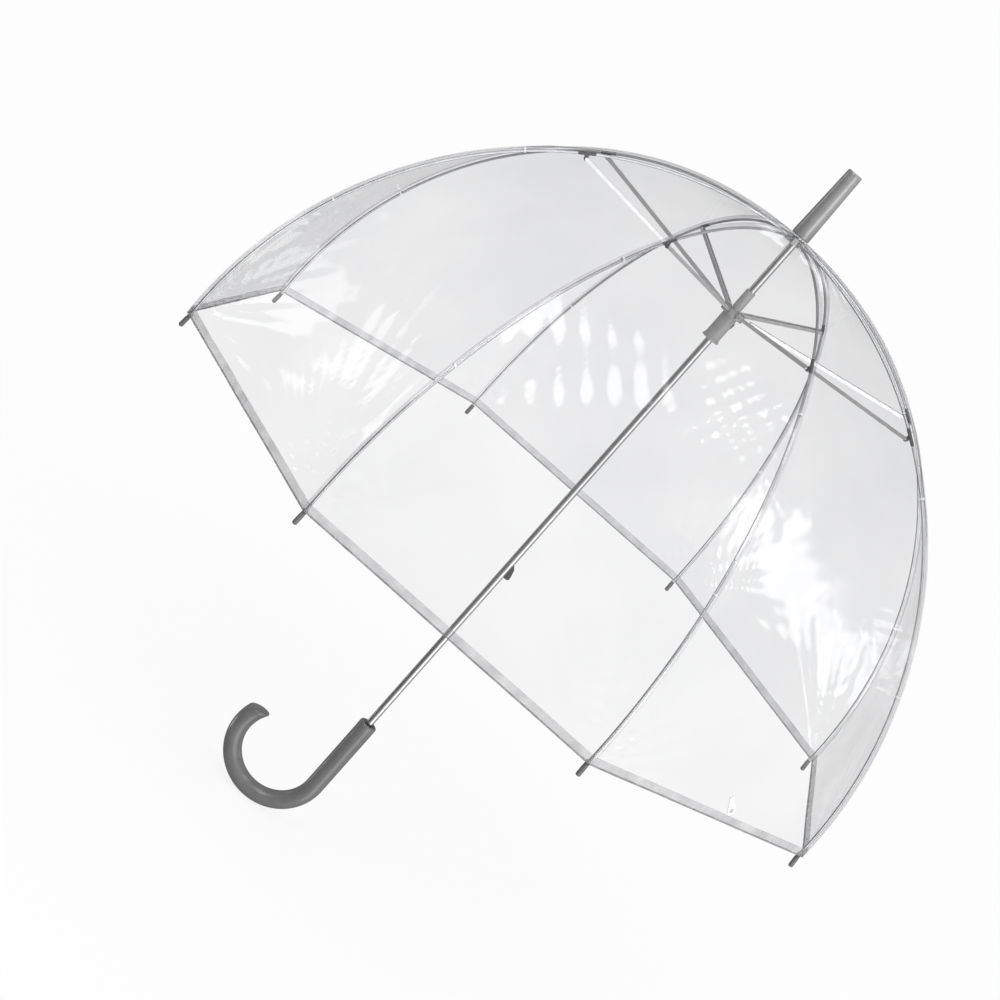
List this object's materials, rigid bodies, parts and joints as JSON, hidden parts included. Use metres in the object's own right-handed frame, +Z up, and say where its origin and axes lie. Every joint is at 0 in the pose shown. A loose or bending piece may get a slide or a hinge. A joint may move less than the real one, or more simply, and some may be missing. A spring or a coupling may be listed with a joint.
{
  "type": "bubble umbrella",
  "caption": "Clear bubble umbrella with a deep see-through dome on thin steel ribs, a tall grey ferrule and a grey crook handle.",
  "frame": {"origin": "on the shaft's axis, level with the lowest point of the crook handle, which is the bottom centre of the open umbrella's box", "axes": "+Z up along the shaft towards the ferrule, -X towards the side that the crook curls to, both catches on the +X side"},
  "size_m": [0.7022, 0.7022, 0.8161],
  "materials": {
    "steel": "bright drawn steel",
    "grey_wire": "grey coated wire",
    "dark_wire": "dark spring wire",
    "grey_plastic": "satin grey moulding",
    "pale_plastic": "pale grey moulding",
    "dark_plastic": "dark grey moulding",
    "clear_film": "clear glossy film",
    "white_plastic": "white tape"
  },
  "bodies": {
    "frame": {"shaft": "steel", "ferrule": "grey_plastic", "apex_washer": "grey_plastic", "top_notch": "pale_plastic", "notch_wire": "steel", "stop_collar": "pale_plastic", "handle": "grey_plastic", "film_gore_1": "clear_film", "film_gore_2": "clear_film", "film_gore_3": "clear_film", "film_gore_4": "clear_film", "film_gore_5": "clear_film", "film_gore_6": "clear_film", "film_gore_7": "clear_film", "film_gore_8": "clear_film", "closure_tab": "white_plastic"},
    "runner": {"runner": "grey_plastic", "runner_wire": "steel"},
    "top_catch": {"top_catch": "dark_wire"},
    "bottom_catch": {"bottom_catch": "dark_wire"},
    "rib_1_upper_part": {"rib_1_upper": "grey_wire"},
    "rib_1_middle_part": {"rib_1_middle": "grey_wire"},
    "rib_1_lower_part": {"rib_1_lower": "grey_wire", "tip_cap_1": "dark_plastic"},
    "stretcher_1_part": {"stretcher_1": "grey_wire"},
    "rib_2_upper_part": {"rib_2_upper": "grey_wire"},
    "rib_2_middle_part": {"rib_2_middle": "grey_wire"},
    "rib_2_lower_part": {"rib_2_lower": "grey_wire", "tip_cap_2": "dark_plastic"},
    "stretcher_2_part": {"stretcher_2": "grey_wire"},
    "rib_3_upper_part": {"rib_3_upper": "grey_wire"},
    "rib_3_middle_part": {"rib_3_middle": "grey_wire"},
    "rib_3_lower_part": {"rib_3_lower": "grey_wire", "tip_cap_3": "dark_plastic"},
    "stretcher_3_part": {"stretcher_3": "grey_wire"},
    "rib_4_upper_part": {"rib_4_upper": "grey_wire"},
    "rib_4_middle_part": {"rib_4_middle": "grey_wire"},
    "rib_4_lower_part": {"rib_4_lower": "grey_wire", "tip_cap_4": "dark_plastic"},
    "stretcher_4_part": {"stretcher_4": "grey_wire"},
    "rib_5_upper_part": {"rib_5_upper": "grey_wire"},
    "rib_5_middle_part": {"rib_5_middle": "grey_wire"},
    "rib_5_lower_part": {"rib_5_lower": "grey_wire", "tip_cap_5": "dark_plastic"},
    "stretcher_5_part": {"stretcher_5": "grey_wire"},
    "rib_6_upper_part": {"rib_6_upper": "grey_wire"},
    "rib_6_middle_part": {"rib_6_middle": "grey_wire"},
    "rib_6_lower_part": {"rib_6_lower": "grey_wire", "tip_cap_6": "dark_plastic"},
    "stretcher_6_part": {"stretcher_6": "grey_wire"},
    "rib_7_upper_part": {"rib_7_upper": "grey_wire"},
    "rib_7_middle_part": {"rib_7_middle": "grey_wire"},
    "rib_7_lower_part": {"rib_7_lower": "grey_wire", "tip_cap_7": "dark_plastic"},
    "stretcher_7_part": {"stretcher_7": "grey_wire"},
    "rib_8_upper_part": {"rib_8_upper": "grey_wire"},
    "rib_8_middle_part": {"rib_8_middle": "grey_wire"},
    "rib_8_lower_part": {"rib_8_lower": "grey_wire", "tip_cap_8": "dark_plastic"},
    "stretcher_8_part": {"stretcher_8": "grey_wire"}
  },
  "joints": [
    {"name": "runner_slide", "type": "slide", "parent": "frame", "child": "runner", "axis": [0, 0, -1], "range_m": [0, 0.301], "deforming": ["film_gore_1", "film_gore_2", "film_gore_3", "film_gore_4", "film_gore_5", "film_gore_6", "film_gore_7", "film_gore_8", "closure_tab", "top_catch", "bottom_catch"]},
    {"name": "top_catch_press", "type": "slide", "parent": "frame", "child": "top_catch", "axis": [-1, 0, 0], "range_m": [0, 0.0049], "stiffness_N_per_m": 600},
    {"name": "bottom_catch_press", "type": "slide", "parent": "frame", "child": "bottom_catch", "axis": [-1, 0, 0], "range_m": [0, 0.0049], "stiffness_N_per_m": 600},
    {"name": "rib_1_fold", "type": "hinge", "parent": "frame", "child": "rib_1_upper_part", "pos_m": [-0.00739, -0.00306, 0.73891], "axis": [0.3827, -0.9239, 0], "range_deg": [0, 68.08]},
    {"name": "rib_1_upper_flex", "type": "hinge", "parent": "rib_1_upper_part", "child": "rib_1_middle_part", "pos_m": [-0.18979, -0.07861, 0.67798], "axis": [-0.3827, 0.9239, 0], "range_deg": [0, 21.62]},
    {"name": "rib_1_lower_flex", "type": "hinge", "parent": "rib_1_middle_part", "child": "rib_1_lower_part", "pos_m": [-0.30407, -0.12595, 0.54513], "axis": [-0.3827, 0.9239, 0], "range_deg": [0, 32.09]},
    {"name": "stretcher_1_pivot", "type": "hinge", "parent": "runner", "child": "stretcher_1_part", "pos_m": [-0.00878, -0.00364, 0.6557], "axis": [-0.3827, 0.9239, 0], "range_deg": [0, 79.07]},
    {"name": "rib_2_fold", "type": "hinge", "parent": "frame", "child": "rib_2_upper_part", "pos_m": [-0.00306, -0.00739, 0.73891], "axis": [0.9239, -0.3827, 0], "range_deg": [0, 68.08]},
    {"name": "rib_2_upper_flex", "type": "hinge", "parent": "rib_2_upper_part", "child": "rib_2_middle_part", "pos_m": [-0.07861, -0.18979, 0.67798], "axis": [-0.9239, 0.3827, 0], "range_deg": [0, 21.62]},
    {"name": "rib_2_lower_flex", "type": "hinge", "parent": "rib_2_middle_part", "child": "rib_2_lower_part", "pos_m": [-0.12595, -0.30407, 0.54513], "axis": [-0.9239, 0.3827, 0], "range_deg": [0, 32.09]},
    {"name": "stretcher_2_pivot", "type": "hinge", "parent": "runner", "child": "stretcher_2_part", "pos_m": [-0.00364, -0.00878, 0.6557], "axis": [-0.9239, 0.3827, 0], "range_deg": [0, 79.07]},
    {"name": "rib_3_fold", "type": "hinge", "parent": "frame", "child": "rib_3_upper_part", "pos_m": [0.00306, -0.00739, 0.73891], "axis": [0.9239, 0.3827, 0], "range_deg": [0, 68.08]},
    {"name": "rib_3_upper_flex", "type": "hinge", "parent": "rib_3_upper_part", "child": "rib_3_middle_part", "pos_m": [0.07861, -0.18979, 0.67798], "axis": [-0.9239, -0.3827, 0], "range_deg": [0, 21.62]},
    {"name": "rib_3_lower_flex", "type": "hinge", "parent": "rib_3_middle_part", "child": "rib_3_lower_part", "pos_m": [0.12595, -0.30407, 0.54513], "axis": [-0.9239, -0.3827, 0], "range_deg": [0, 32.09]},
    {"name": "stretcher_3_pivot", "type": "hinge", "parent": "runner", "child": "stretcher_3_part", "pos_m": [0.00364, -0.00878, 0.6557], "axis": [-0.9239, -0.3827, 0], "range_deg": [0, 79.07]},
    {"name": "rib_4_fold", "type": "hinge", "parent": "frame", "child": "rib_4_upper_part", "pos_m": [0.00739, -0.00306, 0.73891], "axis": [0.3827, 0.9239, 0], "range_deg": [0, 68.08]},
    {"name": "rib_4_upper_flex", "type": "hinge", "parent": "rib_4_upper_part", "child": "rib_4_middle_part", "pos_m": [0.18979, -0.07861, 0.67798], "axis": [-0.3827, -0.9239, 0], "range_deg": [0, 21.62]},
    {"name": "rib_4_lower_flex", "type": "hinge", "parent": "rib_4_middle_part", "child": "rib_4_lower_part", "pos_m": [0.30407, -0.12595, 0.54513], "axis": [-0.3827, -0.9239, 0], "range_deg": [0, 32.09]},
    {"name": "stretcher_4_pivot", "type": "hinge", "parent": "runner", "child": "stretcher_4_part", "pos_m": [0.00878, -0.00364, 0.6557], "axis": [-0.3827, -0.9239, 0], "range_deg": [0, 79.07]},
    {"name": "rib_5_fold", "type": "hinge", "parent": "frame", "child": "rib_5_upper_part", "pos_m": [0.00739, 0.00306, 0.73891], "axis": [-0.3827, 0.9239, 0], "range_deg": [0, 68.08]},
    {"name": "rib_5_upper_flex", "type": "hinge", "parent": "rib_5_upper_part", "child": "rib_5_middle_part", "pos_m": [0.18979, 0.07861, 0.67798], "axis": [0.3827, -0.9239, 0], "range_deg": [0, 21.62]},
    {"name": "rib_5_lower_flex", "type": "hinge", "parent": "rib_5_middle_part", "child": "rib_5_lower_part", "pos_m": [0.30407, 0.12595, 0.54513], "axis": [0.3827, -0.9239, 0], "range_deg": [0, 32.09]},
    {"name": "stretcher_5_pivot", "type": "hinge", "parent": "runner", "child": "stretcher_5_part", "pos_m": [0.00878, 0.00364, 0.6557], "axis": [0.3827, -0.9239, 0], "range_deg": [0, 79.07]},
    {"name": "rib_6_fold", "type": "hinge", "parent": "frame", "child": "rib_6_upper_part", "pos_m": [0.00306, 0.00739, 0.73891], "axis": [-0.9239, 0.3827, 0], "range_deg": [0, 68.08]},
    {"name": "rib_6_upper_flex", "type": "hinge", "parent": "rib_6_upper_part", "child": "rib_6_middle_part", "pos_m": [0.07861, 0.18979, 0.67798], "axis": [0.9239, -0.3827, 0], "range_deg": [0, 21.62]},
    {"name": "rib_6_lower_flex", "type": "hinge", "parent": "rib_6_middle_part", "child": "rib_6_lower_part", "pos_m": [0.12595, 0.30407, 0.54513], "axis": [0.9239, -0.3827, 0], "range_deg": [0, 32.09]},
    {"name": "stretcher_6_pivot", "type": "hinge", "parent": "runner", "child": "stretcher_6_part", "pos_m": [0.00364, 0.00878, 0.6557], "axis": [0.9239, -0.3827, 0], "range_deg": [0, 79.07]},
    {"name": "rib_7_fold", "type": "hinge", "parent": "frame", "child": "rib_7_upper_part", "pos_m": [-0.00306, 0.00739, 0.73891], "axis": [-0.9239, -0.3827, 0], "range_deg": [0, 68.08]},
    {"name": "rib_7_upper_flex", "type": "hinge", "parent": "rib_7_upper_part", "child": "rib_7_middle_part", "pos_m": [-0.07861, 0.18979, 0.67798], "axis": [0.9239, 0.3827, 0], "range_deg": [0, 21.62]},
    {"name": "rib_7_lower_flex", "type": "hinge", "parent": "rib_7_middle_part", "child": "rib_7_lower_part", "pos_m": [-0.12595, 0.30407, 0.54513], "axis": [0.9239, 0.3827, 0], "range_deg": [0, 32.09]},
    {"name": "stretcher_7_pivot", "type": "hinge", "parent": "runner", "child": "stretcher_7_part", "pos_m": [-0.00364, 0.00878, 0.6557], "axis": [0.9239, 0.3827, 0], "range_deg": [0, 79.07]},
    {"name": "rib_8_fold", "type": "hinge", "parent": "frame", "child": "rib_8_upper_part", "pos_m": [-0.00739, 0.00306, 0.73891], "axis": [-0.3827, -0.9239, 0], "range_deg": [0, 68.08]},
    {"name": "rib_8_upper_flex", "type": "hinge", "parent": "rib_8_upper_part", "child": "rib_8_middle_part", "pos_m": [-0.18979, 0.07861, 0.67798], "axis": [0.3827, 0.9239, 0], "range_deg": [0, 21.62]},
    {"name": "rib_8_lower_flex", "type": "hinge", "parent": "rib_8_middle_part", "child": "rib_8_lower_part", "pos_m": [-0.30407, 0.12595, 0.54513], "axis": [0.3827, 0.9239, 0], "range_deg": [0, 32.09]},
    {"name": "stretcher_8_pivot", "type": "hinge", "parent": "runner", "child": "stretcher_8_part", "pos_m": [-0.00878, 0.00364, 0.6557], "axis": [0.3827, 0.9239, 0], "range_deg": [0, 79.07]}
  ],
  "couplings": [
    {"joint": "rib_1_fold", "follows": "runner_slide", "rad_per_m": 3.9472},
    {"joint": "rib_1_upper_flex", "follows": "runner_slide", "rad_per_m": 1.2534},
    {"joint": "rib_1_lower_flex", "follows": "runner_slide", "rad_per_m": 1.8602},
    {"joint": "stretcher_1_pivot", "follows": "runner_slide", "rad_per_m": 4.5843},
    {"joint": "rib_2_fold", "follows": "runner_slide", "rad_per_m": 3.9472},
    {"joint": "rib_2_upper_flex", "follows": "runner_slide", "rad_per_m": 1.2534},
    {"joint": "rib_2_lower_flex", "follows": "runner_slide", "rad_per_m": 1.8602},
    {"joint": "stretcher_2_pivot", "follows": "runner_slide", "rad_per_m": 4.5843},
    {"joint": "rib_3_fold", "follows": "runner_slide", "rad_per_m": 3.9472},
    {"joint": "rib_3_upper_flex", "follows": "runner_slide", "rad_per_m": 1.2534},
    {"joint": "rib_3_lower_flex", "follows": "runner_slide", "rad_per_m": 1.8602},
    {"joint": "stretcher_3_pivot", "follows": "runner_slide", "rad_per_m": 4.5843},
    {"joint": "rib_4_fold", "follows": "runner_slide", "rad_per_m": 3.9472},
    {"joint": "rib_4_upper_flex", "follows": "runner_slide", "rad_per_m": 1.2534},
    {"joint": "rib_4_lower_flex", "follows": "runner_slide", "rad_per_m": 1.8602},
    {"joint": "stretcher_4_pivot", "follows": "runner_slide", "rad_per_m": 4.5843},
    {"joint": "rib_5_fold", "follows": "runner_slide", "rad_per_m": 3.9472},
    {"joint": "rib_5_upper_flex", "follows": "runner_slide", "rad_per_m": 1.2534},
    {"joint": "rib_5_lower_flex", "follows": "runner_slide", "rad_per_m": 1.8602},
    {"joint": "stretcher_5_pivot", "follows": "runner_slide", "rad_per_m": 4.5843},
    {"joint": "rib_6_fold", "follows": "runner_slide", "rad_per_m": 3.9472},
    {"joint": "rib_6_upper_flex", "follows": "runner_slide", "rad_per_m": 1.2534},
    {"joint": "rib_6_lower_flex", "follows": "runner_slide", "rad_per_m": 1.8602},
    {"joint": "stretcher_6_pivot", "follows": "runner_slide", "rad_per_m": 4.5843},
    {"joint": "rib_7_fold", "follows": "runner_slide", "rad_per_m": 3.9472},
    {"joint": "rib_7_upper_flex", "follows": "runner_slide", "rad_per_m": 1.2534},
    {"joint": "rib_7_lower_flex", "follows": "runner_slide", "rad_per_m": 1.8602},
    {"joint": "stretcher_7_pivot", "follows": "runner_slide", "rad_per_m": 4.5843},
    {"joint": "rib_8_fold", "follows": "runner_slide", "rad_per_m": 3.9472},
    {"joint": "rib_8_upper_flex", "follows": "runner_slide", "rad_per_m": 1.2534},
    {"joint": "rib_8_lower_flex", "follows": "runner_slide", "rad_per_m": 1.8602},
    {"joint": "stretcher_8_pivot", "follows": "runner_slide", "rad_per_m": 4.5843}
  ]
}
